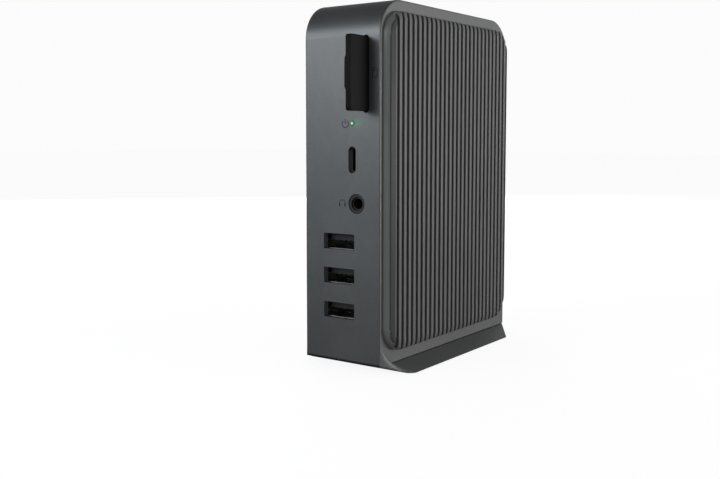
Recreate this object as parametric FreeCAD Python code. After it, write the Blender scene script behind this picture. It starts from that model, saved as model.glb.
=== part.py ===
import FreeCAD, Part
import math
import os
from FreeCAD import Vector

# Upright USB hub / docking station with ribbed side covers and a flared foot.
# +Z is up, the covers face +X (right) and -X (left), the user ports face -Y (front)
# and the rear ports +Y.  Origin: centre of the footprint on the desk.  Millimetres.
# Port, screw and board heights are measured up from the underside of the housing.

# ---- housing and foot ---------------------------------------------------
PAD_DROP = 0.5          # how far the rubber pad stands below the foot
FOOT_HEIGHT = 2.72
UNDER_Z = PAD_DROP + FOOT_HEIGHT    # underside of the housing
HALF_WIDTH = 15.45      # to the flat rim plane
DEPTH = 88.0
HEIGHT = 120.0
FRONT_Y, REAR_Y = -DEPTH / 2, DEPTH / 2
TOP_RADIUS = 12.0       # corners seen from the side
BOTTOM_RADIUS = 0.9
WALL = 2.0
FLANGE = 1.5            # thickness of the side flanges
GAP = 0.02              # between neighbouring parts
FOOT_HALF_WIDTH = 22.53     # foot at its lower edge
FOOT_HALF_LENGTH = 35.33
FOOT_RADIUS = 3.0

# side window in the housing, filled by the tongue of each cover
WINDOW_Y0, WINDOW_Y1 = FRONT_Y + 4.6, REAR_Y - 8.0
WINDOW_Z0, WINDOW_Z1 = 7.5, HEIGHT - 7.5
WINDOW_RADIUS = 6.0

# ---- ribbed covers ------------------------------------------------------
COVER_REAR_Y = 39.9
COVER_Z0, COVER_Z1 = 4.4, 116.1
COVER_RADIUS = 8.5
RIB_PITCH = 2.934
FIRST_RIB_Y = -37.33
RIB_COUNT = 26
GROOVE_WIDTH = 1.36

# ---- screws -------------------------------------------------------------
SCREW_RADIUS = 1.0
THREAD_RADIUS = SCREW_RADIUS + 0.06
CLEARANCE_RADIUS = 1.2
PANEL_HALF_WIDTH = 12.6             # rear window that takes the port panel
PANEL_Z0, PANEL_Z1 = 6.0, 112.0
PANEL_Y0, PANEL_Y1 = REAR_Y - WALL, REAR_Y - 0.35
EAR_HALF = 2.6                      # half width of a rear screw ear
PANEL_SCREWS = [(x, z) for z in (PANEL_Z0 + 2.6, PANEL_Z1 - 2.6) for x in (-8.5, 8.5)]
FOOT_SCREWS = [(x, y) for y in (-25.0, 24.0) for x in (-9.0, 9.0)]
BOARD_SCREWS = [(y, z) for z in (14.0, 106.0) for y in (-21.0, 21.0)]

# ---- port centres -------------------------------------------------------
CARD_X, CARD_Z = 9.7, 95.6
LIGHT_X, LIGHT_Z = 4.23, 79.8
USB_C_X, USB_C_Z = 4.2, 67.8
AUDIO_X, AUDIO_Z = 6.0, 53.4
USB_A_X = -1.3
USB_A_ROWS = (40.5, 28.9, 17.2)
NETWORK_X, NETWORK_Z = -4.6, 92.0
POWER_X, POWER_Z = -6.0, 25.0
# upright rear sockets, (x, z)
REAR_USB_A = ((-7.2, 68.0), (-7.2, 49.5))
VIDEO = ((6.6, 68.6), (6.6, 42.2))
REAR_USB_C = ((7.2, 96.5), (7.2, 21.8))

# ---- boards -------------------------------------------------------------
BOARD = 1.6                         # board thickness
FRAME_X = -9.6                      # +X face of the mid frame
STANDOFF = 3.0                      # standoff height above that face
MAIN_X = FRAME_X + STANDOFF + 0.05  # main board, side towards the frame
PARTS_X = MAIN_X + BOARD + GAP      # where parts stand on the main board
FRONT_BOARD_Y = -27.9               # front face
REAR_BOARD_Y = 27.9                 # rear face

# ---- sockets ------------------------------------------------------------
SOCKET_LENGTH = 13.95
FRONT_MOUTH_Y = FRONT_Y + WALL + 0.03
REAR_MOUTH_Y = PANEL_Y0 - 0.03
# shells lying flat: half width, half height, wall, back wall
USB_A_SHELL = (6.55, 2.85, 0.3, 0.3)
USB_C_SHELL = (4.3, 1.45, 0.25, 0.4)
VIDEO_SHELL = (7.1, 2.35, 0.3, 0.3)
# openings in the wall or panel: half length, half thickness, corner radius
USB_A_OPENING = (6.35, 2.65, 0.45)
USB_C_OPENING = (4.4, 1.5, 1.45)
VIDEO_OPENING = (7.2, 2.45, [2.0, 0.5, 0.5, 2.0])
AUDIO_BORE = 1.8                    # radius, for a 3.5 mm plug

# ---- memory card --------------------------------------------------------
CARD_OUT = 9.7                      # how far the card stands out of the slot
CARD_LENGTH = 32.0
CARD_FRONT_Y = FRONT_Y - CARD_OUT
READER_REAR_Y = -15.0
READER_HALF_WIDTH = 1.9

ALONG_X, ALONG_Y, ALONG_Z = (1, 0, 0), (0, 1, 0), (0, 0, 1)

os.makedirs("parts", exist_ok=True)


# ---- helpers ------------------------------------------------------------
def save(name, shapes):
    """Write one piece, given as a shape or a list of shapes."""
    if not isinstance(shapes, list):
        shapes = [shapes]
    solids = []
    for shape in shapes:
        solids += shape.removeSplitter().Solids
    piece = solids[0] if len(solids) == 1 else Part.makeCompound(solids)
    piece.exportStep("parts/%s.step" % name)


def box(x0, x1, y0, y1, z0, z1):
    return Part.makeBox(x1 - x0, y1 - y0, z1 - z0, Vector(x0, y0, z0))


def body_box(x0, x1, y0, y1, z0, z1):
    """Box whose heights are measured from the housing underside."""
    return box(x0, x1, y0, y1, UNDER_Z + z0, UNDER_Z + z1)


def rounded_face(to_3d, u0, u1, v0, v1, radii):
    """Rounded rectangle; radii is one value or those at u0v0, u1v0, u1v1, u0v1."""
    if not isinstance(radii, list):
        radii = [radii] * 4
    corners = [(u0, v0), (u1, v0), (u1, v1), (u0, v1)]
    directions = [(1, 0), (0, 1), (-1, 0), (0, -1)]
    bulge = 1 - math.sqrt(0.5)
    arcs = []
    for i, ((u, v), r) in enumerate(zip(corners, radii)):
        (in_u, in_v), (out_u, out_v) = directions[i - 1], directions[i]
        start = (u - in_u * r, v - in_v * r)
        middle = (u + (out_u - in_u) * r * bulge, v + (out_v - in_v) * r * bulge)
        end = (u + out_u * r, v + out_v * r)
        arcs.append((to_3d(*start), to_3d(*middle), to_3d(*end)))
    edges = []
    for i, arc in enumerate(arcs):
        edges.append(Part.Arc(*arc).toShape())
        edges.append(Part.LineSegment(arc[2], arcs[(i + 1) % 4][0]).toShape())
    return Part.Face(Part.Wire(edges))


def round_x(x0, x1, y0, y1, z0, z1, radii):
    """Rounded rectangle in YZ, extruded along X."""
    face = rounded_face(lambda u, v: Vector(x0, u, v), y0, y1, z0, z1, radii)
    return face.extrude(Vector(x1 - x0, 0, 0))


def round_y(x0, x1, y0, y1, z0, z1, radii):
    """Rounded rectangle in XZ, extruded along Y."""
    face = rounded_face(lambda u, v: Vector(u, y0, v), x0, x1, z0, z1, radii)
    return face.extrude(Vector(0, y1 - y0, 0))


def round_z(x0, x1, y0, y1, z0, z1, radii):
    """Rounded rectangle in XY, extruded along Z."""
    face = rounded_face(lambda u, v: Vector(u, v, z0), x0, x1, y0, y1, radii)
    return face.extrude(Vector(0, 0, z1 - z0))


def rod(radius, length, axis, x, y, z):
    return Part.makeCylinder(radius, length, Vector(x, y, z), Vector(*axis))


def polygon(points):
    return Part.makePolygon([Vector(*p) for p in points + points[:1]])


def soften(solid, radius, wanted):
    """Fillet every edge that passes the test."""
    edges = [edge for edge in solid.Edges if wanted(edge)]
    # Guards against a fillet the kernel cannot build: the solid then stays sharp.
    try:
        filleted = solid.makeFillet(radius, edges)
        if filleted.isValid() and filleted.Solids:
            return filleted
    except Exception:
        pass
    return solid


def lies_at_x(edge, x):
    return abs(edge.CenterOfMass.x - x) < 1e-4 and edge.BoundBox.XLength < 1e-6


def side_window(x0, x1, inset):
    """The housing's side window, shrunk all round by inset."""
    return round_x(x0, x1, WINDOW_Y0 + inset, WINDOW_Y1 - inset,
                   UNDER_Z + WINDOW_Z0 + inset, UNDER_Z + WINDOW_Z1 - inset,
                   WINDOW_RADIUS - inset)


def opening(x, z, half_x, half_z, radii, y_range):
    return round_y(x - half_x, x + half_x, *y_range,
                   UNDER_Z + z - half_z, UNDER_Z + z + half_z, radii)


def upright_opening(x, z, size, y_range):
    half_length, half_thickness, radii = size
    return opening(x, z, half_thickness, half_length, radii, y_range)


# ---- housing ------------------------------------------------------------
def housing_outside():
    outside = round_x(-HALF_WIDTH, HALF_WIDTH, FRONT_Y, REAR_Y, UNDER_Z, UNDER_Z + HEIGHT,
                      [BOTTOM_RADIUS, BOTTOM_RADIUS, TOP_RADIUS, TOP_RADIUS])
    # both side outlines, except along the underside
    return soften(outside, 0.55, lambda edge: (
        (lies_at_x(edge, HALF_WIDTH) or lies_at_x(edge, -HALF_WIDTH))
        and edge.CenterOfMass.z >= UNDER_Z + 0.5))


def add_ears(body, outside):
    """Screw ears inside the rear wall, at the top and bottom of its window."""
    front = REAR_Y - 7.5
    for x, z in PANEL_SCREWS:
        if z > HEIGHT / 2:
            ear_z, tie_z = (z - EAR_HALF, 114.0), (PANEL_Z1 + 0.6, 117.0)
        else:
            ear_z, tie_z = (1.5, z + EAR_HALF), (1.5, PANEL_Z0 - 0.6)
        ear = body_box(x - EAR_HALF, x + EAR_HALF, front, PANEL_Y0 - 0.05, *ear_z)
        # ties the ear to the rear wall past the window edge
        tie = body_box(x - EAR_HALF, x + EAR_HALF, front, REAR_Y - 1.0, *tie_z)
        body = body.fuse(ear.common(outside)).fuse(tie.common(outside))
        body = body.cut(rod(THREAD_RADIUS, 8, ALONG_Y, x, front - 1, UNDER_Z + z))
    return body


def cut_front_ports(body):
    through = (FRONT_Y - 1, FRONT_Y + 3)
    half_length, half_thickness, radius = USB_A_OPENING
    body = body.cut(opening(CARD_X, CARD_Z, 1.25, 12.45, 1.1, through))
    body = body.cut(rod(0.95, 4, ALONG_Y, LIGHT_X, through[0], UNDER_Z + LIGHT_Z))
    body = body.cut(upright_opening(USB_C_X, USB_C_Z, USB_C_OPENING, through))
    body = body.cut(rod(3.3, 4, ALONG_Y, AUDIO_X, through[0], UNDER_Z + AUDIO_Z))
    for z in USB_A_ROWS:
        body = body.cut(opening(USB_A_X, z, half_length, half_thickness, radius, through))
    return body


def housing():
    outside = housing_outside()
    inner_radius = TOP_RADIUS - WALL
    cavity = round_x(-HALF_WIDTH + FLANGE, HALF_WIDTH - FLANGE,
                     FRONT_Y + WALL, REAR_Y - WALL, UNDER_Z + WALL, UNDER_Z + HEIGHT - WALL,
                     [0.5, 0.5, inner_radius, inner_radius])
    body = outside.cut(cavity).cut(side_window(-HALF_WIDTH - 1, HALF_WIDTH + 1, 0))
    body = body.cut(round_y(-PANEL_HALF_WIDTH, PANEL_HALF_WIDTH, PANEL_Y0 - 1, REAR_Y + 1,
                            UNDER_Z + PANEL_Z0, UNDER_Z + PANEL_Z1, 3.0))
    body = cut_front_ports(add_ears(body, outside))
    # bosses in the floor for the foot screws
    for x, y in FOOT_SCREWS:
        body = body.fuse(rod(2.6, 6.0, ALONG_Z, x, y, UNDER_Z + 0.5))
        body = body.cut(rod(THREAD_RADIUS, 7.0, ALONG_Z, x, y, UNDER_Z - 1))
    return body


# ---- rear port panel ----------------------------------------------------
def rear_panel():
    fit = 0.1
    through = (PANEL_Y0 - 1, PANEL_Y1 + 1)
    panel = round_y(-PANEL_HALF_WIDTH + fit, PANEL_HALF_WIDTH - fit, PANEL_Y0, PANEL_Y1,
                    UNDER_Z + PANEL_Z0 + fit, UNDER_Z + PANEL_Z1 - fit, 2.9)
    panel = panel.cut(body_box(NETWORK_X - 6.0, NETWORK_X + 6.0, *through,
                               NETWORK_Z - 5.0, NETWORK_Z + 5.0))
    for places, size in ((REAR_USB_A, USB_A_OPENING), (VIDEO, VIDEO_OPENING),
                         (REAR_USB_C, USB_C_OPENING)):
        for x, z in places:
            panel = panel.cut(upright_opening(x, z, size, through))
    panel = panel.cut(rod(3.4, 5, ALONG_Y, POWER_X, through[0], UNDER_Z + POWER_Z))
    for x, z in PANEL_SCREWS:
        panel = panel.cut(rod(CLEARANCE_RADIUS, 5, ALONG_Y, x, through[0], UNDER_Z + z))
        panel = panel.cut(Part.makeCone(CLEARANCE_RADIUS, 2.05, 0.85,
                                        Vector(x, PANEL_Y1 - 0.84, UNDER_Z + z),
                                        Vector(*ALONG_Y)))
    return panel


def rear_screw(x, z):
    """Countersunk screw with a cross recess."""
    head = 0.8
    screw = Part.makeCone(SCREW_RADIUS, 1.85, head,
                          Vector(x, PANEL_Y1 - head, UNDER_Z + z), Vector(*ALONG_Y))
    screw = screw.fuse(rod(SCREW_RADIUS, 5.3, ALONG_Y, x, PANEL_Y1 - 6.0, UNDER_Z + z))
    for angle in (0, 90):
        slot = box(-0.22, 0.22, -0.45, 1, -1.15, 1.15)
        slot.rotate(Vector(0, 0, 0), Vector(*ALONG_Y), angle)
        slot.translate(Vector(x, PANEL_Y1, UNDER_Z + z))
        screw = screw.cut(slot)
    return screw


# ---- ribbed side covers -------------------------------------------------
def side_cover(height, front_y, groove_depth, edge_radius):
    """Right-hand cover, standing the given height proud of the rim."""
    inner_x, outer_x = HALF_WIDTH + GAP, HALF_WIDTH + height
    cover = round_x(inner_x, outer_x, front_y, COVER_REAR_Y,
                    UNDER_Z + COVER_Z0, UNDER_Z + COVER_Z1, COVER_RADIUS)
    cover = soften(cover, edge_radius, lambda edge: lies_at_x(edge, outer_x))
    # one groove on each side of every rib
    grooves = []
    for i in range(-1, RIB_COUNT):
        y = FIRST_RIB_Y + RIB_PITCH * (i + 0.5)
        grooves.append(body_box(outer_x - groove_depth, outer_x + 1,
                                y - GROOVE_WIDTH / 2, y + GROOVE_WIDTH / 2, 0, HEIGHT))
    cover = cover.cut(Part.makeCompound(grooves))
    # hollow locating tongue that drops into the side window
    cover = cover.fuse(side_window(HALF_WIDTH - 1.2, inner_x + 0.3, 0.1))
    return cover.cut(side_window(HALF_WIDTH - 1.3, HALF_WIDTH + 0.05, 2.0))


# ---- foot ---------------------------------------------------------------
def foot_ring(half_x, half_y, z, radius, steps=4):
    """Rounded rectangle as a polygon, with straight steps round each corner."""
    cx, cy = half_x - radius, half_y - radius
    points = []
    for quarter, (x, y) in enumerate(((cx, cy), (-cx, cy), (-cx, -cy), (cx, -cy))):
        for i in range(steps + 1):
            angle = math.pi / 2 * (quarter + i / steps)
            points.append((x + radius * math.cos(angle), y + radius * math.sin(angle), z))
    return polygon(points)


def gusset():
    """Blends the flare up the front right corner: a curved-top base and a low tip."""
    size, inset, lift, steps = 9.0, 0.6, 0.02, 8
    x = HALF_WIDTH + GAP
    low_z = UNDER_Z - 0.9
    base = [(x, FRONT_Y + inset, low_z)]
    for i in range(steps + 1):
        angle = math.pi / 2 * i / steps
        base.append((x, FRONT_Y + size - (size - inset) * math.cos(angle),
                     UNDER_Z + lift + (size - lift) * (1 - math.sin(angle))))
    base.append((x, FRONT_Y + size, low_z))
    tip = (FOOT_HALF_WIDTH - 0.95, -FOOT_HALF_LENGTH + 0.95, PAD_DROP + 0.05)
    faces = [Part.Face(polygon(base))]
    for i in range(len(base)):
        faces.append(Part.Face(polygon([base[i], base[(i + 1) % len(base)], tip])))
    solid = Part.Solid(Part.makeShell(faces))
    # the shell may come out facing inwards
    if solid.Volume < 0:
        solid.reverse()
    return solid


def pad_shape(z0, z1, grow=0.0):
    half_x, half_y = 19.5 + grow, FOOT_HALF_LENGTH - 3.0 + grow
    return round_z(-half_x, half_x, -half_y, half_y, z0, z1, 3.0 + grow)


def base_foot():
    top = foot_ring(HALF_WIDTH, DEPTH / 2, UNDER_Z, 0.6)
    bottom = foot_ring(FOOT_HALF_WIDTH, FOOT_HALF_LENGTH, PAD_DROP, FOOT_RADIUS)
    foot = Part.makeLoft([bottom, top], True, True)
    right = gusset()
    foot = foot.fuse(right).fuse(right.mirror(Vector(0, 0, 0), Vector(*ALONG_X)))
    foot = foot.cut(pad_shape(PAD_DROP - 1, PAD_DROP + 0.4, grow=0.1))
    for x, y in FOOT_SCREWS:
        foot = foot.cut(rod(CLEARANCE_RADIUS, 5, ALONG_Z, x, y, 0))
        foot = foot.cut(rod(2.3, PAD_DROP + 1.7, ALONG_Z, x, y, 0))
    return foot


def foot_screw(x, y):
    screw = rod(2.1, 1.2, ALONG_Z, x, y, PAD_DROP + 0.45)
    screw = screw.fuse(rod(SCREW_RADIUS, 6.0, ALONG_Z, x, y, PAD_DROP + 1.5))
    return screw.cut(rod(0.8, 1.1, ALONG_Z, x, y, PAD_DROP))


# ---- inner frame and boards ---------------------------------------------
def mid_frame():
    frame = body_box(FRAME_X - 1.0, FRAME_X, -25.0, 25.0, 8.0, 112.0)
    frame = frame.cut(round_x(FRAME_X - 2, FRAME_X + 1, -14, 14,
                              UNDER_Z + 30, UNDER_Z + 92, 4))
    for y, z in BOARD_SCREWS:
        frame = frame.fuse(rod(2.2, STANDOFF + 0.5, ALONG_X, FRAME_X - 0.5, y, UNDER_Z + z))
        frame = frame.cut(rod(THREAD_RADIUS, 8, ALONG_X, FRAME_X - 2, y, UNDER_Z + z))
    return frame


def main_board():
    board = body_box(MAIN_X, MAIN_X + BOARD, -25.5, 25.5, 8.5, 111.5)
    for y, z in BOARD_SCREWS:
        board = board.cut(rod(CLEARANCE_RADIUS, 5, ALONG_X, MAIN_X - 1, y, UNDER_Z + z))
    return board


def board_screw(y, z):
    face = MAIN_X + BOARD
    screw = rod(1.9, 1.2, ALONG_X, PARTS_X, y, UNDER_Z + z)
    screw = screw.fuse(rod(SCREW_RADIUS, 5.5, ALONG_X, face - 5.1, y, UNDER_Z + z))
    return screw.cut(rod(0.7, 2, ALONG_X, face + 0.6, y, UNDER_Z + z))


def front_board():
    """Port board across the housing, notched for the card reader."""
    back = FRONT_BOARD_Y + BOARD
    board = body_box(-13.2, 13.2, FRONT_BOARD_Y, back, 10.0, 110.0)
    return board.cut(body_box(CARD_X - 2.6, 14, FRONT_BOARD_Y - 1, back + 1,
                              CARD_Z - 15, 111))


def board_link(port_face_y, inward):
    """Slotted block in the corner of the main board and a port board."""
    face = MAIN_X + BOARD
    body_y = sorted(port_face_y + inward * reach for reach in (GAP, 7.5))
    slot_y = sorted(port_face_y + inward * reach for reach in (2, 9))
    link = body_box(PARTS_X, face + 5, *body_y, 56, 76)
    return link.cut(body_box(face + 1.5, face + 3.5, *slot_y, 58, 74))


# ---- sockets ------------------------------------------------------------
# Each is built lying flat and facing -Y with its mouth at y = 0, then placed.
def place(shape, x, z, rear=False, upright=False):
    if upright:
        shape.rotate(Vector(0, 0, 0), Vector(*ALONG_Y), 90)
    if rear:
        shape.rotate(Vector(0, 0, 0), Vector(*ALONG_Z), 180)
    shape.translate(Vector(x, REAR_MOUTH_Y if rear else FRONT_MOUTH_Y, UNDER_Z + z))
    return shape


def socket_shell(case, outer_radii, inner_radii):
    half_x, half_z, wall, back = case
    shell = round_y(-half_x, half_x, 0, SOCKET_LENGTH, -half_z, half_z, outer_radii)
    half_x, half_z = half_x - wall, half_z - wall
    return shell.cut(round_y(-half_x, half_x, -1, SOCKET_LENGTH - back,
                             -half_z, half_z, inner_radii))


def root_bounds(case, start):
    """Bounds of the block that holds the tongue at the back of a shell."""
    half_x, half_z, wall, back = case
    half_x, half_z = half_x - wall - 0.1, half_z - wall - 0.1
    return -half_x, half_x, start, SOCKET_LENGTH - back - 0.05, -half_z, half_z


def usb_a_shell():
    shell = socket_shell(USB_A_SHELL, 0.6, 0.35)
    # spring windows in the top and bottom faces
    for x in (-3.2, 3.2):
        for z0, z1 in ((2.0, 3.5), (-3.5, -2.0)):
            shell = shell.cut(box(x - 1.0, x + 1.0, 3.0, 8.5, z0, z1))
    return shell


def usb_a_tongue():
    return box(*root_bounds(USB_A_SHELL, 10.6)).fuse(box(-5.55, 5.55, 1.2, 10.7, 0.2, 2.04))


def usb_a_contacts():
    return [box(x - 0.5, x + 0.5, 2.2, 9.8, -0.02, 0.18) for x in (-3.5, -1.0, 1.0, 3.5)]


def usb_c_shell():
    return socket_shell(USB_C_SHELL, 1.4, 1.15)


def usb_c_tongue():
    root = round_y(*root_bounds(USB_C_SHELL, 6.0), 1.05)
    return root.fuse(box(-3.35, 3.35, 0.9, 6.1, -0.35, 0.35))


def video_shell():
    return socket_shell(VIDEO_SHELL, [1.9, 1.9, 0.5, 0.5], [1.7, 1.7, 0.35, 0.35])


def video_tongue():
    root = round_y(*root_bounds(VIDEO_SHELL, 10.0), [1.6, 1.6, 0.3, 0.3])
    return root.fuse(box(-5.6, 5.6, 1.0, 10.1, -0.35, 0.75))


def audio_jack():
    """Moulded body with a collar that fills the round opening."""
    jack = box(-3.9, 3.9, 0, SOCKET_LENGTH, -3.9, 3.9)
    jack = jack.fuse(rod(3.2, 2.5, ALONG_Y, 0, -1.75, 0))
    jack = jack.cut(rod(AUDIO_BORE, 14, ALONG_Y, 0, -3, 0))
    jack = jack.cut(rod(2.25, 1.0, ALONG_Y, 0, -2.0, 0))
    # contact pockets above and below the bore
    for z0, z1 in ((0, 2.5), (-2.5, 0)):
        jack = jack.cut(box(-0.45, 0.45, 2.5, 9.5, z0, z1))
    return jack


def audio_contacts():
    return [box(-0.4, 0.4, 2.6, 9.4, z, z + 0.4) for z in (AUDIO_BORE + 0.2, -AUDIO_BORE - 0.6)]


def network_jack():
    jack = box(-7.6, 7.6, 0, SOCKET_LENGTH, -6.4, 7.2)
    return jack.cut(box(-5.9, 5.9, -1, 11.5, -4.1, 3.9)).cut(box(-3.0, 3.0, -1, 11.5, -4.9, 0))


def network_contacts():
    centres = [-3.57 + 1.02 * i for i in range(8)]
    return [box(x - 0.2, x + 0.2, 1.5, 11.0, 3.2, 3.6) for x in centres]


def power_inlet():
    inlet = box(-4.5, 4.5, 0, SOCKET_LENGTH, -5.0, 5.5)
    return inlet.cut(rod(3.1, 11.0, ALONG_Y, 0, -1, 0))


# ---- status light and card reader ---------------------------------------
def light_pipe():
    """Clear pipe through the front wall, with a collar behind it."""
    pipe = rod(0.9, 13.0, ALONG_Y, LIGHT_X, FRONT_Y - 0.12, UNDER_Z + LIGHT_Z)
    return pipe.fuse(rod(1.6, 1.0, ALONG_Y, LIGHT_X, FRONT_MOUTH_Y + GAP, UNDER_Z + LIGHT_Z))


def status_lamp():
    half = 1.2
    return body_box(LIGHT_X - half, LIGHT_X + half, FRONT_BOARD_Y - 1.3, FRONT_BOARD_Y - GAP,
                    LIGHT_Z - half, LIGHT_Z + half)


def card_reader():
    """Slim box, open at the front, that holds the card on edge."""
    reader = body_box(CARD_X - READER_HALF_WIDTH, CARD_X + READER_HALF_WIDTH,
                      FRONT_MOUTH_Y, READER_REAR_Y, CARD_Z - 13.2, CARD_Z + 13.2)
    return reader.cut(body_box(CARD_X - 1.15, CARD_X + 1.15, FRONT_MOUTH_Y - 1,
                               READER_REAR_Y - 1.0, CARD_Z - 12.1, CARD_Z + 12.1))


def reader_contacts():
    bottoms = [CARD_Z - 9.6 + 2.4 * i for i in range(9)]
    return [body_box(CARD_X + 1.06, CARD_X + 1.14, -26.5, READER_REAR_Y - 1.05, z, z + 1.0)
            for z in bottoms]


def memory_card():
    """Card with a cut upper rear corner and a grip bar on its left face."""
    y, z = CARD_FRONT_Y, UNDER_Z + CARD_Z
    card = box(CARD_X - 1.02, CARD_X + 1.02, y, y + CARD_LENGTH, z - 12.0, z + 12.0)
    # the two short edges across the front end
    card = soften(card, 1.0, lambda edge: (
        abs(edge.CenterOfMass.y - y) < 1e-4 and edge.BoundBox.XLength > 1.5))
    end_y = y + CARD_LENGTH + 0.1
    corner = Part.Face(polygon([(CARD_X - 3, y + 28.0, z + 12.1), (CARD_X - 3, end_y, z + 12.1),
                                (CARD_X - 3, end_y, z + 8.0)]))
    card = card.cut(corner.extrude(Vector(6, 0, 0)))
    return card.fuse(round_x(CARD_X - 1.95, CARD_X - 0.9, y + 0.35, y + 3.4,
                             z - 5.4, z + 5.4, 0.9))


# ---- write the pieces ---------------------------------------------------
save("housing", housing())
save("rear_panel", rear_panel())
save("rear_screws", [rear_screw(x, z) for x, z in PANEL_SCREWS])
save("side_cover_right",
     side_cover(height=3.2, front_y=-42.7, groove_depth=1.7, edge_radius=0.6))
# the left cover is lower, starts further back and has shallower grooves
left_cover = side_cover(height=1.2, front_y=-41.2, groove_depth=0.75, edge_radius=0.4)
save("side_cover_left", left_cover.mirror(Vector(0, 0, 0), Vector(*ALONG_X)))
save("base_foot", base_foot())
save("base_pad", pad_shape(0, PAD_DROP + 0.38))
save("foot_screws", [foot_screw(x, y) for x, y in FOOT_SCREWS])

save("mid_frame", mid_frame())
save("main_board", main_board())
save("board_screws", [board_screw(y, z) for y, z in BOARD_SCREWS])
save("controller_chip", body_box(PARTS_X, PARTS_X + 1.2, -9, 9, 50, 68))
save("video_chip", body_box(PARTS_X, PARTS_X + 1.1, -7, 5, 78, 90))
save("inductors", [body_box(PARTS_X, PARTS_X + 4.0, y, y + 7, 20, 27) for y in (-16, -6, 4)])
save("capacitors", [rod(3.0, 7.5, ALONG_X, PARTS_X, y, UNDER_Z + 36) for y in (-13, -4, 5, 14)])
# carries the controller's heat to the right-hand cover
save("heat_spreader", round_x(PARTS_X + 1.25, HALF_WIDTH - GAP, -11, 11,
                              UNDER_Z + 47, UNDER_Z + 71, 1.5))
save("front_board", front_board())
save("rear_board", body_box(-13.2, 13.2, REAR_BOARD_Y - BOARD, REAR_BOARD_Y, 10.0, 105.0))
save("front_link", board_link(FRONT_BOARD_Y + BOARD, 1))
save("rear_link", board_link(REAR_BOARD_Y - BOARD, -1))

contacts = []
for i, z in enumerate(USB_A_ROWS, 1):
    save("usb_a_shell_%d" % i, place(usb_a_shell(), USB_A_X, z))
    save("usb_a_tongue_%d" % i, place(usb_a_tongue(), USB_A_X, z))
    contacts += [place(contact, USB_A_X, z) for contact in usb_a_contacts()]
save("usb_a_contacts", contacts)
save("usb_c_shell", place(usb_c_shell(), USB_C_X, USB_C_Z, upright=True))
save("usb_c_tongue", place(usb_c_tongue(), USB_C_X, USB_C_Z, upright=True))
save("audio_jack", place(audio_jack(), AUDIO_X, AUDIO_Z))
save("audio_contact", [place(contact, AUDIO_X, AUDIO_Z) for contact in audio_contacts()])
save("light_pipe", light_pipe())
save("status_lamp", status_lamp())
save("card_reader", card_reader())
save("reader_contacts", reader_contacts())
save("reader_board", body_box(CARD_X + READER_HALF_WIDTH + GAP, CARD_X + 3.3, -41.0, -14.0,
                              CARD_Z - 13.6, CARD_Z + 12.6))
save("memory_card", memory_card())

save("network_jack", place(network_jack(), NETWORK_X, NETWORK_Z, rear=True))
save("network_contacts", [place(contact, NETWORK_X, NETWORK_Z, rear=True)
                          for contact in network_contacts()])
for name, places, shell, tongue in (("rear_usb_a", REAR_USB_A, usb_a_shell, usb_a_tongue),
                                    ("video", VIDEO, video_shell, video_tongue),
                                    ("rear_usb_c", REAR_USB_C, usb_c_shell, usb_c_tongue)):
    for i, (x, z) in enumerate(places, 1):
        save("%s_shell_%d" % (name, i), place(shell(), x, z, rear=True, upright=True))
        save("%s_tongue_%d" % (name, i), place(tongue(), x, z, rear=True, upright=True))
save("power_inlet", place(power_inlet(), POWER_X, POWER_Z, rear=True))
save("power_pin", place(rod(1.0, 8.95, ALONG_Y, 0, 1.0, 0), POWER_X, POWER_Z, rear=True))
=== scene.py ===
"""An upright electronics hub with ribbed side covers and a memory card, on a flared foot.

The front, with the sockets and printed icons, faces -Y. The ribbed covers face +X (right) and
-X (left). The floor is z = 0. Shape dimensions are in millimetres and are multiplied by MM
when vertices are made; materials, lights and the camera use metres.
"""
import bpy
import bmesh
import math
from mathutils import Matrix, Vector


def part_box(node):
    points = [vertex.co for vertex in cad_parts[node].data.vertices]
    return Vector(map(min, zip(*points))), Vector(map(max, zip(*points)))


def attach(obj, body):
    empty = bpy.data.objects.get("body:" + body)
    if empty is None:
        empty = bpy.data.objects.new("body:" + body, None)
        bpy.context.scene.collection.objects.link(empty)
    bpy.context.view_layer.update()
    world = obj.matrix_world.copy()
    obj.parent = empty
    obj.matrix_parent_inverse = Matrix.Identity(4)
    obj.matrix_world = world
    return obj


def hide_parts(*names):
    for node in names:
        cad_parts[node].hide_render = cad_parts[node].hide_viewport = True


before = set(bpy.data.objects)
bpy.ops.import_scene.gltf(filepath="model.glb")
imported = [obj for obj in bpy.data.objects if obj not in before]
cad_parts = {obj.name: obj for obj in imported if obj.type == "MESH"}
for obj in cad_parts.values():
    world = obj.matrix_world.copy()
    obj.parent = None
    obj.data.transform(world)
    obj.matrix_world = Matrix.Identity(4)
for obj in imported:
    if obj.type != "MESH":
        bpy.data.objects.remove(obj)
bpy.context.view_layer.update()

MM = 0.001
BASE_Z = 3.22        # underside of the case
FRONT_Y = -44.0      # front face of the case
HALF_WIDTH = 15.47   # from the middle to each flat side of the case
LAMP_X = 4.23
LAMP_Z = BASE_Z + 79.8


# ------------------------------------------------------------ mesh helpers
def link_object(name, data):
    obj = bpy.data.objects.new(name, data)
    bpy.context.scene.collection.objects.link(obj)
    return obj


def add_vert(mesh, x, y, z):
    """Add a vertex placed in millimetres."""
    return mesh.verts.new((x * MM, y * MM, z * MM))


def mesh_object(name, mesh, material, sharp_angle):
    """Clean up the bmesh and make a smooth-shaded object, with edges past the angle kept sharp."""
    bmesh.ops.remove_doubles(mesh, verts=mesh.verts, dist=1e-7)
    bmesh.ops.recalc_face_normals(mesh, faces=mesh.faces)
    data = bpy.data.meshes.new(name)
    mesh.to_mesh(data)
    mesh.free()
    for polygon in data.polygons:
        polygon.use_smooth = True
    data.set_sharp_from_angle(angle=math.radians(sharp_angle))
    obj = link_object(name, data)
    data.materials.append(material)
    return obj


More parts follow.
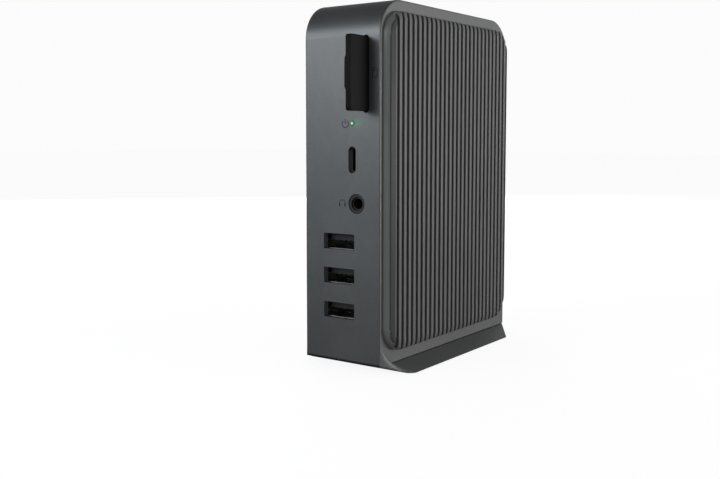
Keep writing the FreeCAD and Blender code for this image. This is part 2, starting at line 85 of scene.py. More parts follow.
def add_bevel(obj, width, segments, angle=30):
    bevel = obj.modifiers.new("edge", "BEVEL")
    bevel.width = width * MM
    bevel.segments = segments
    bevel.limit_method = "ANGLE"
    bevel.angle_limit = math.radians(angle)
    bevel.harden_normals = False
    bevel.miter_outer = "MITER_ARC"


def clamp(value):
    return max(0.0, min(1.0, value))


def blend_points(start, end, t):
    return tuple(a + (b - a) * t for a, b in zip(start, end))


# -------------------------------------------------------- material helpers
def rgba(colour):
    return (*colour, 1)


class Shader:
    """A node tree and the node that receives its results."""

    def __init__(self, tree, target):
        self.tree = tree
        self.target = target

    def feed(self, inputs, node=None):
        """Set inputs of a node (the target by default) to values, or link sockets to them."""
        node = node or self.target
        for key, value in inputs.items():
            if isinstance(value, bpy.types.NodeSocket):
                self.tree.links.new(value, node.inputs[key])
            else:
                node.inputs[key].default_value = value

    def add(self, kind, output, inputs=None, **settings):
        """Add a node and return the named output socket."""
        node = self.tree.nodes.new("ShaderNode" + kind)
        for key, value in settings.items():
            setattr(node, key, value)
        self.feed(inputs or {}, node)
        return node.outputs[output]

    def ramp(self, factor, stops, interpolation="LINEAR"):
        """Colour ramp through (position, colour) stops in rising order."""
        result = self.add("ValToRGB", "Color", {"Fac": factor})
        band = result.node.color_ramp
        band.interpolation = interpolation
        for element, stop in ((band.elements[0], stops[0]), (band.elements[1], stops[-1])):
            element.position = stop[0]
            element.color = rgba(stop[1])
        for position, colour in stops[1:-1]:
            band.elements.new(position).color = rgba(colour)
        return result

    def mix(self, factor, a, b, blend_type="MIX"):
        return self.add("Mix", "Result", {"Factor": factor, "A": a, "B": b},
                        data_type="RGBA", blend_type=blend_type)

    def source(self, key):
        """The socket that now feeds an input of the target."""
        return self.target.inputs[key].links[0].from_socket

    def value(self, key):
        return self.target.inputs[key].default_value


def shader_of(material):
    return Shader(material.node_tree, material.node_tree.nodes["Principled BSDF"])


def new_material(name):
    material = bpy.data.materials.new(name)
    material.use_nodes = True
    return material


def coat(name, colour, roughness, grain, grain_height, variation, edge_wear_and_highlight, metallic=0.0,
         specular=0.5, blotch=60.0, brushed=(1, 1, 1), edge_colour=None):
    """Painted, moulded or plated surface.

    grain and blotch are noise scales, brushed stretches the grain along the axes, variation is
    the share the colour drifts either way and edge_wear_and_highlight the strength of the lighter
    edges, partly wear and partly a painted highlight.
    """
    material = new_material(name)
    shader = shader_of(material)
    place = shader.add("TexCoord", "Object")
    stretched = shader.add("Mapping", "Vector", {"Vector": place, "Scale": brushed})
    blotches = shader.add("TexNoise", "Fac", {"Vector": place, "Scale": blotch,
                                              "Detail": 4.0, "Roughness": 0.6})
    fine = shader.add("TexNoise", "Fac", {"Vector": stretched, "Scale": grain, "Detail": 3.0})
    dark = [c * (1 - variation) for c in colour]
    light = [min(1, c * (1 + variation)) for c in colour]
    base = shader.ramp(blotches, ((0.25, dark), (0.8, light)))
    base = shader.mix(0.22, base, fine, "OVERLAY")
    # lighter edges where pointiness is high, broken by noise patches: partly wear, partly a
    # painted highlight
    if edge_wear_and_highlight > 0:
        pointiness = shader.add("NewGeometry", "Pointiness")
        edges = shader.add("MapRange", "Result", {"Value": pointiness, "From Min": 0.505,
                                                  "From Max": 0.62})
        patches = shader.add("TexNoise", "Fac", {"Vector": place, "Scale": 420.0, "Detail": 5.0})
        worn_and_lit = shader.add("Math", "Value", {0: edges, 1: patches}, operation="MULTIPLY")
        worn_and_lit = shader.add("Math", "Value", {0: worn_and_lit, 1: edge_wear_and_highlight * 2},
                          operation="MULTIPLY", use_clamp=True)
        worn_and_lit_colour = edge_colour or [min(1, c * 1.9 + 0.03) for c in colour]
        base = shader.mix(worn_and_lit, base, rgba(worn_and_lit_colour))
    gloss_swing = 0.10   # roughness drift either way
    gloss = shader.add("MapRange", "Result", {"Value": blotches,
                                              "To Min": max(0.02, roughness - gloss_swing),
                                              "To Max": min(1, roughness + gloss_swing)})
    bump = shader.add("Bump", "Normal", {"Strength": grain_height, "Distance": 0.00006,
                                         "Height": fine})
    shader.feed({"Metallic": metallic, "Specular IOR Level": specular, "Base Color": base,
                 "Roughness": gloss, "Normal": bump})
    return material


def apply_painted_shading(material):
    """Darken colour and specular by the cover's painted shading: painted shade on the groove
    floors and the front border, a painted highlight on the border's outer wall, full rib tops.
    """
    shader = shader_of(material)
    # per-vertex painted shade and highlight, multiplied into colour and specular
    painted_shading = shader.add("Attribute", "Fac", attribute_name="painted_shading")
    base = shader.mix(1.0, shader.source("Base Color"), painted_shading, "MULTIPLY")
    specular = shader.add("Math", "Value", {0: painted_shading, 1: shader.value("Specular IOR Level")},
                          operation="MULTIPLY")
    shader.feed({"Base Color": base, "Specular IOR Level": specular})


def refinish_sides(material, colour, metallic):
    """Give faces that look along X a neutral, more diffuse finish than the rest."""
    shader = shader_of(material)
    normal = shader.add("NewGeometry", "True Normal")
    along_x = shader.add("SeparateXYZ", "X", {0: normal})
    along_x = shader.add("Math", "Value", {0: along_x}, operation="ABSOLUTE")
    is_side = shader.add("MapRange", "Result", {"Value": along_x, "From Min": 0.93,
                                                "From Max": 0.99})
    speckle = shader.add("TexNoise", "Fac", {"Scale": 900.0})
    side_colour = shader.mix(0.15, rgba(colour), speckle, "OVERLAY")
    base = shader.mix(is_side, shader.source("Base Color"), side_colour)
    metal = shader.add("MapRange", "Result", {"Value": is_side, "To Max": metallic,
                                              "To Min": shader.value("Metallic")})
    shader.feed({"Base Color": base, "Metallic": metal})


def status_light():
    """Green lamp: a small bright core, fading outwards inside a dim pipe."""
    material = new_material("status_light")
    shader = shader_of(material)
    place = shader.add("TexCoord", "Object")
    offset = shader.add("Mapping", "Vector", {
        "Vector": place, "Location": (-LAMP_X * MM, 0, -LAMP_Z * MM), "Scale": (1, 0, 1)})
    distance = shader.add("VectorMath", "Value", {0: offset}, operation="LENGTH")
    frosting = shader.add("TexNoise", "Fac", {"Scale": 2500.0})
    distance = shader.add("Math", "Value", {0: frosting, 1: 0.00012, 2: distance},
                          operation="MULTIPLY_ADD")
    fade = shader.add("MapRange", "Result", {"Value": distance, "From Min": 0.0,
                                             "From Max": 0.0009})
    glow = shader.ramp(fade, ((0.22, (0.50, 1.0, 0.62)), (0.55, (0.05, 0.42, 0.12)),
                              (0.92, (0.002, 0.02, 0.006))), "EASE")
    shader.feed({"Base Color": rgba((0.05, 0.075, 0.06)), "Roughness": 0.35,
                 "Emission Color": glow, "Emission Strength": 1.0})
    return material


# --------------------------------------------------------------- materials
# the edge setting in each coat makes lighter edges, partly wear and partly a painted highlight
COVER_COAT = dict(colour=(0.150, 0.150, 0.150), roughness=0.42, grain=5200, grain_height=0.30,
                  variation=0.06, metallic=0.12, edge_wear_and_highlight=0.10, blotch=45, specular=0.3)
COATS = {
    "slate_paint": dict(colour=(0.158, 0.166, 0.172), roughness=0.40, grain=5200,
                        grain_height=0.30, variation=0.05, metallic=0.75, edge_wear_and_highlight=0.10,
                        blotch=38),
    "foot_paint": dict(colour=(0.135, 0.137, 0.139), roughness=0.50, grain=5200,
                       grain_height=0.30, variation=0.05, metallic=0.40, edge_wear_and_highlight=0.08,
                       blotch=38),
    "cover_paint": COVER_COAT,
    "cover_paint_low": COVER_COAT,
    "rear_black": dict(colour=(0.020, 0.020, 0.022), roughness=0.55, grain=6500,
                       grain_height=0.6, variation=0.12, edge_wear_and_highlight=0.20),
    "pad_rubber": dict(colour=(0.016, 0.016, 0.016), roughness=0.82, grain=3500,
                       grain_height=0.8, variation=0.18, edge_wear_and_highlight=0.1),
    "card_plastic": dict(colour=(0.0035, 0.0035, 0.004), roughness=0.62, grain=6500,
                         grain_height=0.5, variation=0.12, edge_wear_and_highlight=0.10,
                         edge_colour=(0.02, 0.02, 0.021), specular=0.18),
    "black_moulding": dict(colour=(0.018, 0.018, 0.019), roughness=0.50, grain=6500,
                           grain_height=0.5, variation=0.15, edge_wear_and_highlight=0.15),
    "socket_insulator": dict(colour=(0.012, 0.012, 0.013), roughness=0.45, grain=6500,
                             grain_height=0.4, variation=0.15, edge_wear_and_highlight=0.15),
    "nickel_shell": dict(colour=(0.56, 0.55, 0.53), roughness=0.26, grain=900,
                         grain_height=0.10, variation=0.06, metallic=1.0, edge_wear_and_highlight=0.1,
                         brushed=(1, 14, 1)),
    "gold_contact": dict(colour=(0.80, 0.58, 0.25), roughness=0.25, grain=1500,
                         grain_height=0.08, variation=0.08, metallic=1.0, edge_wear_and_highlight=0.0),
    "screw_steel": dict(colour=(0.23, 0.23, 0.235), roughness=0.34, grain=1800,
                        grain_height=0.2, variation=0.10, metallic=1.0, edge_wear_and_highlight=0.3),
    "frame_steel": dict(colour=(0.50, 0.51, 0.52), roughness=0.36, grain=800,
                        grain_height=0.2, variation=0.06, metallic=1.0, edge_wear_and_highlight=0.1,
                        brushed=(1, 12, 1)),
    "circuit_board": dict(colour=(0.010, 0.060, 0.030), roughness=0.35, grain=700,
                          grain_height=0.5, variation=0.35, edge_wear_and_highlight=0.2, blotch=260),
    "heat_block": dict(colour=(0.62, 0.63, 0.64), roughness=0.32, grain=700,
                       grain_height=0.2, variation=0.05, metallic=1.0, edge_wear_and_highlight=0.1,
                       brushed=(1, 10, 1)),
    "capacitor_can": dict(colour=(0.45, 0.47, 0.50), roughness=0.30, grain=900,
                          grain_height=0.15, variation=0.06, metallic=1.0, edge_wear_and_highlight=0.1),
    "icon_ink": dict(colour=(0.018, 0.020, 0.022), roughness=0.62, grain=5200,
                     grain_height=0.3, variation=0.2, edge_wear_and_highlight=0.0),
}
materials = {name: coat(name, **values) for name, values in COATS.items()}
refinish_sides(materials["slate_paint"], colour=(0.150, 0.150, 0.150), metallic=0.15)
# painted shade in the cover grooves and on the front border, painted highlight on the border's
# outer wall
apply_painted_shading(materials["cover_paint"])
apply_painted_shading(materials["cover_paint_low"])
materials["status_light"] = status_light()

# --------------------------------------------------------------- CAD nodes
# material: the CAD nodes that wear it
NODES_BY_MATERIAL = {
    "slate_paint": "housing",
    "foot_paint": "base_foot",
    "cover_paint": "side_cover_right",
    "cover_paint_low": "side_cover_left",
    "rear_black": "rear_panel",
    "pad_rubber": "base_pad",
    "card_plastic": "memory_card",
    "nickel_shell": "power_pin card_reader",
    "screw_steel": "rear_screws foot_screws board_screws",
    "frame_steel": "mid_frame",
    "circuit_board": "main_board front_board rear_board reader_board",
    "heat_block": "heat_spreader",
    "capacitor_can": "capacitors",
    "status_light": "light_pipe status_lamp",
}
MATERIAL_OF = {node: material for material, nodes in NODES_BY_MATERIAL.items()
               for node in nodes.split()}
# word in the name of any other node: its material
MATERIAL_BY_WORD = {"shell": "nickel_shell", "tongue": "socket_insulator",
                    "contact": "gold_contact"}


def node_material(name):
    """The node's own material, else one by a word in its name, else black moulding."""
    if name in MATERIAL_OF:
        return materials[MATERIAL_OF[name]]
    for word, material in MATERIAL_BY_WORD.items():
        if word in name:
            return materials[material]
    return materials["black_moulding"]


for name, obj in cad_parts.items():
    obj.data.materials.clear()
    obj.data.materials.append(node_material(name))

# ----------------------------------------------------------- ribbed covers
COVER_REAR_Y = 39.9
COVER_LOW_Z = BASE_Z + 4.4
COVER_HIGH_Z = BASE_Z + 116.1
COVER_CORNER = 8.5     # radius of the outline's corners
RIB_PITCH = 2.934
RIB_COUNT = 26
FIRST_RIB_Y = -37.33
GROOVE_HALF = 1.36 / 2
FLOOR_CURVE = 0.2      # width of the rise at each side of a groove floor
FLOOR_CURVE_END = 0.02  # distance from the groove wall where that rise stops
FLOOR_RISE = 0.12
RIB_ROUNDING = 0.24    # radius on the rib's top edges
# border section: (distance in from the outline, height above the case side)
RIGHT_EDGE = [(0.0, 0.0), (0.04, 0.9), (0.12, 1.60), (0.30, 1.95), (0.48, 2.30), (0.62, 2.62),
              (0.85, 2.80), (1.30, 2.90), (2.05, 3.02), (2.35, 3.12), (2.6, 3.18)]
LEFT_EDGE = [(0.0, 0.0), (0.04, 0.5), (0.15, 0.82), (0.35, 1.00), (0.7, 1.10), (1.2, 1.18)]


def outline_span(y, front_y):
    """Lowest and highest z of the cover's rounded outline at this y."""
    past_corner = max(front_y + COVER_CORNER - y, y - (COVER_REAR_Y - COVER_CORNER), 0.0)
    past_corner = min(past_corner, COVER_CORNER)
    inset = COVER_CORNER - math.sqrt(max(0.0, COVER_CORNER ** 2 - past_corner ** 2))
    return COVER_LOW_Z + inset, COVER_HIGH_Z - inset


def outline_distance(y, z, front_y):
    """Distance in from the cover's rounded outline."""
    middle_y = (front_y + COVER_REAR_Y) / 2
    middle_z = (COVER_LOW_Z + COVER_HIGH_Z) / 2
    past_y = abs(y - middle_y) - ((COVER_REAR_Y - front_y) / 2 - COVER_CORNER)
    past_z = abs(z - middle_z) - ((COVER_HIGH_Z - COVER_LOW_Z) / 2 - COVER_CORNER)
    outside = math.hypot(max(past_y, 0), max(past_z, 0)) + min(max(past_y, past_z), 0)
    return COVER_CORNER - outside


def edge_height(edge, distance):
    if distance >= edge[-1][0]:
        return edge[-1][1]
    for (d0, h0), (d1, h1) in zip(edge, edge[1:]):
        if distance <= d1:
            return h0 + (h1 - h0) * (distance - d0) / (d1 - d0)


def rib_height(y, first_y, top, floor):
    """Height of the rib section; grooves lie at half pitches from first_y."""
    k = round((y - first_y) / RIB_PITCH - 0.5)
    if not -1 <= k < RIB_COUNT:
        return top
    across = abs(y - (first_y + RIB_PITCH * (k + 0.5)))
    if across <= GROOVE_HALF - FLOOR_CURVE:
        return floor
    if across <= GROOVE_HALF - FLOOR_CURVE_END:
        t = (across - GROOVE_HALF + FLOOR_CURVE) / (FLOOR_CURVE - FLOOR_CURVE_END)
        return floor + FLOOR_RISE * t ** 2
    if across <= GROOVE_HALF:
        at_wall = across > GROOVE_HALF - 0.001
        return top - RIB_ROUNDING if at_wall else floor + FLOOR_RISE
    if across < GROOVE_HALF + RIB_ROUNDING:
        t = (across - GROOVE_HALF) / RIB_ROUNDING
        return top - RIB_ROUNDING * (1 - math.sqrt(max(0, 1 - (1 - t) ** 2)))
    return top


def cover_stations(front_y, first_y, edge_steps):
    """The y of every column: along each groove's section, and close together at both ends."""
    stations = set()
    for k in range(-1, RIB_COUNT):
        groove_y = first_y + RIB_PITCH * (k + 0.5)
        for side in (-1, 1):
            for step in (-FLOOR_CURVE, -0.1, -FLOOR_CURVE_END, 0, 0.03, 0.08, 0.15,
                         RIB_ROUNDING):
                stations.add(round(groove_y + side * (GROOVE_HALF + step), 4))
        stations.add(round(groove_y, 4))
        stations.add(round(groove_y + RIB_PITCH / 2, 4))
    for step in edge_steps + [3.4, 4.2, 5.2, 6.5]:
        stations.add(round(front_y + step, 4))
        stations.add(round(COVER_REAR_Y - step, 4))
    return sorted(y for y in stations if front_y - 1e-6 <= y <= COVER_REAR_Y + 1e-6)


def cover_painted_shading(height, floor, groove_depth, distance, edge_width, from_front):
    """Painted shading by height in the groove; the front border gets painted shade, with a painted
    highlight on its outer wall.
    """
    # painted shade: the deeper in the groove, the darker
    painted_shading = 0.38 + 0.62 * clamp((height - floor) / groove_depth)
    if distance >= edge_width:
        return painted_shading
    front = clamp((5.5 - from_front) / 2.5)
    # near the front: painted highlight on the outer wall, painted shade over the rest of the
    # border
    if distance < 0.6:
        return 1.0 + 0.27 * front
    return painted_shading + (min(painted_shading, 0.36) - painted_shading) * front


def ribbed_cover(side, side_name, front_y, groove_depth, edge, material, shift=0.0):
    """Closed cover on the +X (side 1) or -X (side -1) face; shift moves the ribs along y."""
    edge_width, top = edge[-1]
    floor = top - groove_depth
    first_y = FIRST_RIB_Y + shift
    edge_steps = [0.0, 0.02] + [distance for distance, _ in edge[1:]]
    row_steps = edge_steps + [edge_width + 0.5, edge_width + 1.6]
    mesh = bmesh.new()
    # per-vertex painted shade and highlight, read by the cover material
    painted_shading = mesh.verts.layers.float.new("painted_shading")
    columns = []
    for y in cover_stations(front_y, first_y, edge_steps):
        low, high = outline_span(y, front_y)
        rows = [low + step for step in row_steps]
        rows += [low + (high - low) * share for share in (0.2, 0.4, 0.6, 0.8)]
        rows += [high - step for step in reversed(row_steps)]
        column = []
        for z in rows:
            distance = max(0.0, outline_distance(y, z, front_y))
            height = min(rib_height(y, first_y, top, floor), edge_height(edge, distance))
            vert = add_vert(mesh, side * (HALF_WIDTH + height), y, z)
            vert[painted_shading] = cover_painted_shading(height, floor, groove_depth, distance, edge_width,
                                    y - front_y)
            column.append(vert)
        ends = [add_vert(mesh, side * HALF_WIDTH, y, z) for z in (low, high)]
        # no painted shade where the cover meets the case side
        for vert in ends:
            vert[painted_shading] = 1.0
        columns.append([ends[0]] + column + [ends[1]])
    for a, b in zip(columns, columns[1:]):
        for j in range(len(a) - 1):
            mesh.faces.new((a[j], b[j], b[j + 1], a[j + 1]))
        mesh.faces.new((a[0], a[-1], b[-1], b[0]))
    mesh.faces.new(columns[0])
    mesh.faces.new(columns[-1][::-1])
    bmesh.ops.dissolve_degenerate(mesh, edges=mesh.edges, dist=1e-7)
    obj = mesh_object("ribbed_cover_" + side_name, mesh, material, sharp_angle=38)
    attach(obj, "hub")
    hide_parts("side_cover_" + side_name)


ribbed_cover(1, "right", front_y=-42.7, groove_depth=1.7, edge=RIGHT_EDGE,
             material=materials["cover_paint"], shift=0.55)
ribbed_cover(-1, "left", front_y=-41.2, groove_depth=0.75, edge=LEFT_EDGE,
             material=materials["cover_paint_low"])

# -------------------------------------------------------------------- foot
FOOT_Z = 0.5                  # lower outline of the flare
FOOT_HALF_WIDTH = 22.53
FOOT_FRONT_Y = -35.33
FOOT_CORNER = 3.0
RIM_RADIUS = 8.4              # the case rim's rounded lower front corner
RIM_CENTRE_Y = -35.1
RIM_CENTRE_Z = BASE_Z + 8.6
REAR_CORNER = 1.2
SEAM_Z = BASE_Z + 0.02        # upper edge of the flare along the sides
FRONT_TIP = (15.22, FRONT_Y - 0.02, BASE_Z)
FLARE_STEPS = 9               # from the case down to the lower outline
FAN_STEPS = 6
RIM_STEPS = 14
REAR_CORNER_STEPS = 8
SIDE_STEPS = 8


def foot_corner(angle):
    """Point on the lower outline's front right corner, angle in radians from +X."""
    return (FOOT_HALF_WIDTH - FOOT_CORNER + FOOT_CORNER * math.cos(angle),
            FOOT_FRONT_Y + FOOT_CORNER + FOOT_CORNER * math.sin(angle), FOOT_Z)


# Each flare section below is a list of (upper, lower) point pairs for the front right quarter.
def side_section(corner_y):
    section = []
    for i in range(1, SIDE_STEPS + 1):
        t = 1 - i / SIDE_STEPS
        section.append(((HALF_WIDTH, corner_y * t, SEAM_Z),
                        (FOOT_HALF_WIDTH, (FOOT_FRONT_Y + FOOT_CORNER) * t, FOOT_Z)))
    return section


def fan_section():
    """From the front tip to the first half of the lower corner."""
    return [(FRONT_TIP, foot_corner(math.radians(-90 + 45 * i / FAN_STEPS)))
            for i in range(FAN_STEPS + 1)]


def rim_section():
    """Round the rim's corner: down the fan's last row, then round the rest of the corner."""
    section = []
    for i in range(RIM_STEPS + 1):
        angle = math.pi / 2 * i / RIM_STEPS
        upper = (HALF_WIDTH, RIM_CENTRE_Y - RIM_RADIUS * math.cos(angle),
                 RIM_CENTRE_Z - RIM_RADIUS * math.sin(angle) - 0.18 * math.sin(angle) ** 4)
        if i <= FLARE_STEPS:
            lower = blend_points(FRONT_TIP, foot_corner(math.radians(-45)), i / FLARE_STEPS)
        else:
            turn = 45 * (i - FLARE_STEPS) / (RIM_STEPS - FLARE_STEPS)
            lower = foot_corner(math.radians(-45 + turn))
        section.append((upper, lower))
    return section + side_section(RIM_CENTRE_Y)


def rear_section():
    """Plain corner for the rear half, mirrored into place."""
    section = []
    for i in range(REAR_CORNER_STEPS + 1):
        angle = math.pi / 2 * (1 - i / REAR_CORNER_STEPS)
        section.append(((HALF_WIDTH - REAR_CORNER * (1 - math.cos(angle)),
                         FRONT_Y + REAR_CORNER - REAR_CORNER * math.sin(angle), SEAM_Z),
                        foot_corner(-angle)))
    return section + side_section(FRONT_Y + REAR_CORNER)


def flared_foot():
    mesh = bmesh.new()
    shared = {}

    def vert(x, y, z):
        key = (round(x, 4), round(y, 4), round(z, 4))
        if key not in shared:
            shared[key] = add_vert(mesh, x, y, z)
        return shared[key]

    def face(*corners):
        distinct = list(dict.fromkeys(corners))
        if len(distinct) >= 3:
            # guards against collapsed quads that repeat an existing face
            try:
                mesh.faces.new(distinct)
            except ValueError:
                pass

    def skin(rows):
        for a, b in zip(rows, rows[1:]):
            for j in range(len(a) - 1):
                face(a[j], a[j + 1], b[j + 1], b[j])

    fan, rim, rear = fan_section(), rim_section(), rear_section()
    front_outline = [lower for _, lower in fan + rim[FLARE_STEPS + 1:]]
    rear_outline = [lower for _, lower in rear]
    lip_ends, first_rows = {}, {}

    def quarter(flip_x, flip_y):
        def place(point):
            return vert(flip_x * point[0], flip_y * point[1], point[2])

        is_front = flip_y > 0
        skins = []
        for section in (fan, rim) if is_front else (rear,):
            rows = [[place(blend_points(upper, lower, k / FLARE_STEPS))
                     for k in range(FLARE_STEPS + 1)] for upper, lower in section]
            skin(rows)
            skins.append(rows)
        # small lip round the lower outline
        lips = []
        for x, y, z in front_outline if is_front else rear_outline:
            inward = min(1.0, abs(y) / 5.0)
            lips.append([place((x, y, z)),
                         place((x - 0.03, y + 0.03 * inward, FOOT_Z - 0.10)),
                         place((x - 0.35, y + 0.35 * inward, FOOT_Z - 0.15))])
        skin(lips)
        lip_ends[flip_x, flip_y] = [lip[-1] for lip in lips]
        first_rows[flip_x, flip_y] = skins[0][0] + lips[0][1:]

    for flip_x in (1, -1):
        for flip_y in (1, -1):
            quarter(flip_x, flip_y)
    # slopes between the left and right flares, front and rear
    for flip_y in (1, -1):
        skin([first_rows[1, flip_y], first_rows[-1, flip_y]])
    # flat underside
    mesh.faces.new(list(dict.fromkeys(lip_ends[1, 1] + lip_ends[1, -1][::-1]
                                      + lip_ends[-1, -1] + lip_ends[-1, 1][::-1])))
    obj = mesh_object("flared_foot", mesh, materials["foot_paint"], sharp_angle=62)
    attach(obj, "hub")
    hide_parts("base_foot")


flared_foot()

# ------------------------------------------------------------- memory card
CARD_HALF_THICKNESS = 1.02
CARD_CORNER = 1.0
CARD_CHAMFER = 4.0     # cut at the upper rear corner
GRIP_ROWS = 25
GRIP_HALF_LENGTH = 5.4
GRIP_HEIGHT = 0.92
GRIP_RIDGE = 0.10


def card_body(middle_x, y0, y1, z0, z1):
    outline = []
    for centre_z, start in ((z0 + CARD_CORNER, 270), (z1 - CARD_CORNER, 180)):
        for i in range(7):
            angle = math.radians(start - 90 * i / 6)
            outline.append((y0 + CARD_CORNER + CARD_CORNER * math.cos(angle),
                            centre_z + CARD_CORNER * math.sin(angle)))
    outline += [(y1 - CARD_CHAMFER, z1), (y1, z1 - CARD_CHAMFER), (y1, z0)]
    mesh = bmesh.new()
    face = mesh.faces.new([add_vert(mesh, middle_x - CARD_HALF_THICKNESS, y, z)
                           for y, z in outline])
    extruded = bmesh.ops.extrude_face_region(mesh, geom=[face])["geom"]
    bmesh.ops.translate(mesh, verts=[v for v in extruded if isinstance(v, bmesh.types.BMVert)],
                        vec=(2 * CARD_HALF_THICKNESS * MM, 0, 0))
    obj = mesh_object("memory_card_body", mesh, materials["card_plastic"], sharp_angle=30)
    add_bevel(obj, width=0.22, segments=3)
    return obj


def card_grip(middle_x, card_front_y, middle_z):
    """Bar with fine ridges on the card's left face, near its front end."""
    front, rear = card_front_y + 0.35, card_front_y + 3.35
    last = GRIP_ROWS - 1
    mesh = bmesh.new()
    rows = []
    for i in range(GRIP_ROWS):
        z = middle_z - GRIP_HALF_LENGTH + 2 * GRIP_HALF_LENGTH * i / last
        fullness = {0: 0.0, 1: 0.55}.get(min(i, last - i), 1.0)
        ridge = GRIP_RIDGE * (i % 2) if 2 < i < last - 2 else 0.0
        height = (GRIP_HEIGHT - ridge) * (0.35 + 0.65 * fullness)
        # (y, height above the card)
        section = [(front, 0.0), (front + 0.05, height * 0.7), (front + 0.3, height),
                   (rear - 0.9, height), (rear - 0.3, height * 0.75), (rear, 0.0)]
        rows.append([add_vert(mesh, middle_x - 1.0 - h, y, z) for y, h in section])
    for a, b in zip(rows, rows[1:]):
        for j in range(5):
            mesh.faces.new((a[j], a[j + 1], b[j + 1], b[j]))
        mesh.faces.new((a[0], b[0], b[5], a[5]))
    mesh.faces.new(rows[0])
    mesh.faces.new(rows[-1][::-1])
    return mesh_object("memory_card_grip", mesh, materials["card_plastic"], sharp_angle=50)


def memory_card():
    low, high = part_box("memory_card")
    middle_x = high.x / MM - CARD_HALF_THICKNESS
    y0, y1, z0, z1 = low.y / MM, high.y / MM, low.z / MM, high.z / MM
    body = card_body(middle_x, y0, y1, z0, z1)
    grip = card_grip(middle_x, y0, (z0 + z1) / 2)
    for obj in (body, grip):
        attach(obj, "card")
    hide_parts("memory_card")


memory_card()

# ------------------------------------------------------------ printed icons
INK_Y = FRONT_Y - 0.012
INK_THICKNESS = 0.02


def add_stroke(mesh, points, width, closed=False):
    """Flat printed stroke through (x, z) points on the front face."""
    count = len(points)
    left, right = [], []
    for i in range(count):
        before = Vector(points[(i - 1) % count] if closed or i > 0 else points[i])
        after = Vector(points[(i + 1) % count] if closed or i < count - 1 else points[i])
        along = (after - before).normalized()
        offset = Vector((-along.y, along.x)) * width / 2
        left.append(Vector(points[i]) + offset)
        right.append(Vector(points[i]) - offset)
    lf, lb, rf, rb = [[add_vert(mesh, point.x, y, point.y) for point in line]
                      for line in (left, right) for y in (INK_Y, INK_Y + INK_THICKNESS)]
    for i in range(count if closed else count - 1):
        k = (i + 1) % count
        mesh.faces.new((lf[i], lf[k], rf[k], rf[i]))
        mesh.faces.new((lb[i], rb[i], rb[k], lb[k]))
        mesh.faces.new((lf[i], lb[i], lb[k], lf[k]))
        mesh.faces.new((rf[i], rf[k], rb[k], rb[i]))
    if not closed:
        mesh.faces.new((lf[0], rf[0], rb[0], lb[0]))
        mesh.faces.new((lf[-1], lb[-1], rb[-1], rf[-1]))


def icon(name, x, z, strokes):
    """Printed icon centred on (x, z); strokes are dicts for add_stroke, relative to the centre."""
    mesh = bmesh.new()
    for stroke in strokes:
        points = [(x + dx, z + dz) for dx, dz in stroke["points"]]
        add_stroke(mesh, **{**stroke, "points": points})
    obj = mesh_object(name, mesh, materials["icon_ink"], sharp_angle=30)
    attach(obj, "hub")


def arc(radius, degrees):
    """Points anticlockwise from +X."""
    return [(radius * math.cos(math.radians(a)), radius * math.sin(math.radians(a)))
            for a in degrees]


# open ring with a bar through its gap at the top
icon("icon_power", 1.45, BASE_Z + 79.65, [
    dict(points=arc(1.28, [90 - a for a in range(38, 323, 12)]), width=0.30),
    dict(points=[(0, 0.05), (0, 1.55)], width=0.30)])
# small card outline with two contact marks
icon("icon_card", 13.25, BASE_Z + 95.9, [
    dict(points=[(-0.95, -1.5), (0.95, -1.5), (0.95, 0.8), (0.3, 1.5), (-0.95, 1.5)],
         width=0.24, closed=True),
    dict(points=[(-0.45, 0.45), (-0.45, 1.05)], width=0.2),
    dict(points=[(0, 0.45), (0, 1.05)], width=0.2)])
# headphones: a band and two ear pieces
icon("icon_audio", 0.2, BASE_Z + 53.4, [
    dict(points=arc(1.15, range(0, 181, 15)), width=0.26),
    dict(points=[(-1.1, 0), (-1.1, -1.0)], width=0.55),
    dict(points=[(1.1, 0), (1.1, -1.0)], width=0.55)])


# ------------------------------------------------------------------ studio
def floor_material():
    """Pale floor that also glows to the camera, so it shows nearly white."""
    material = new_material("floor_pale")
    shader = shader_of(material)
    seen = shader.add("LightPath", "Is Camera Ray")
    base = shader.mix(seen, rgba((0.31, 0.31, 0.31)), rgba((0.25, 0.25, 0.25)))
    glow = shader.add("Math", "Value", {0: seen, 1: 0.90}, operation="MULTIPLY")
    shader.feed({"Roughness": 0.95, "Specular IOR Level": 0.0, "Base Color": base,
                 "Emission Color": (1, 1, 1, 1), "Emission Strength": glow})
    return material


def studio_floor(half_size=4.0, cells=8):
    """Square grid at z = 0, in metres."""
    data = bpy.data.meshes.new("floor")
    mesh = bmesh.new()
    ticks = [-half_size + 2 * half_size * i / cells for i in range(cells + 1)]
    grid = [[mesh.verts.new((x, y, 0.0)) for y in ticks] for x in ticks]
    for a, b in zip(grid, grid[1:]):
        for j in range(cells):
            mesh.faces.new((a[j], b[j], b[j + 1], a[j + 1]))
    mesh.to_mesh(data)
    mesh.free()
    obj = link_object("studio_floor", data)
    data.materials.append(floor_material())


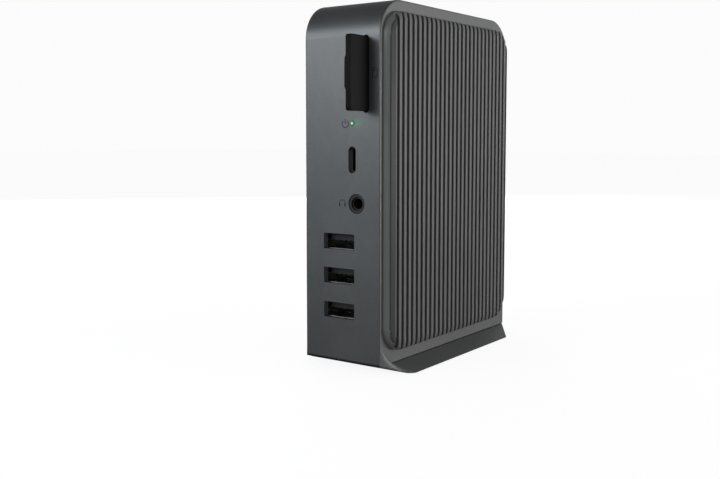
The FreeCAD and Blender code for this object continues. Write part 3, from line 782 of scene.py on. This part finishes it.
def studio_world():
    """Light banded by height, brightest just above the horizon; near white to the camera."""
    scene = bpy.context.scene
    world = scene.world or bpy.data.worlds.new("studio")
    scene.world = world
    world.use_nodes = True
    tree = world.node_tree
    tree.nodes.clear()
    shader = Shader(tree, tree.nodes.new("ShaderNodeOutputWorld"))
    direction = shader.add("TexCoord", "Generated")
    up = shader.add("SeparateXYZ", "Z", {0: direction})
    up = shader.add("Math", "Value", {0: up, 1: 0.5, 2: 0.5}, operation="MULTIPLY_ADD")
    # (height from straight down to straight up, brightness)
    bands = ((0.48, 0.50), (0.56, 0.85), (0.66, 0.62), (0.78, 0.20))
    sky = shader.ramp(up, [(0.0, (0.30, 0.31, 0.32)),
                           *((place, (c * 0.97, c * 0.99, c)) for place, c in bands),
                           (1.0, (0.060, 0.061, 0.063))], "EASE")
    seen = shader.add("LightPath", "Is Camera Ray")
    colour = shader.mix(seen, sky, rgba((0.97, 0.97, 0.97)))
    shader.feed({0: shader.add("Background", 0, {"Color": colour, "Strength": 1.0})})


def aim(obj, direction):
    obj.rotation_euler = direction.to_track_quat("-Z", "Y").to_euler()


def area_light(name, location, target, size, power, colour=(1, 1, 1)):
    light = bpy.data.lights.new(name, "AREA")
    light.shape = "RECTANGLE"
    light.size, light.size_y = size
    light.energy = power
    light.color = colour
    obj = link_object(name, light)
    obj.location = location
    aim(obj, Vector(target) - Vector(location))


def status_glow():
    """Green spill in front of the status light."""
    light = bpy.data.lights.new("status_glow", "POINT")
    light.energy = 0.00005
    light.color = (0.10, 1.0, 0.30)
    light.shadow_soft_size = 0.0014
    link_object("status_glow", light).location = (LAMP_X * MM, -46.6 * MM, LAMP_Z * MM)


def camera():
    """Looks at the case from the front right, slightly downwards."""
    data = bpy.data.cameras.new("camera")
    obj = link_object("camera", data)
    data.sensor_fit = "HORIZONTAL"
    data.sensor_width = 36.0
    data.lens = 45.3
    data.shift_y = -0.0381944
    data.clip_start = 0.01
    obj.location = (0.18016, -0.28414, 0.07852)
    turn, tilt = math.radians(35.73), math.radians(4.73)
    aim(obj, Vector((-math.sin(turn) * math.cos(tilt), math.cos(turn) * math.cos(tilt),
                     -math.sin(tilt))))
    bpy.context.scene.camera = obj


studio_floor()
studio_world()
area_light("key_right", location=(0.72, 0.26, 0.055), target=(0.015, 0, 0.045),
           size=(0.60, 0.22), power=3.8, colour=(1.0, 0.995, 0.985))
area_light("front_fill", location=(-0.26, -0.60, 0.27), target=(0, -0.04, 0.10),
           size=(0.40, 0.20), power=0.96, colour=(0.95, 0.98, 1.0))
area_light("rear_left", location=(-0.60, 0.60, 0.14), target=(0, 0, 0.065),
           size=(0.60, 0.22), power=3.0)
status_glow()
camera()
bpy.context.scene.view_settings.view_transform = "Standard"
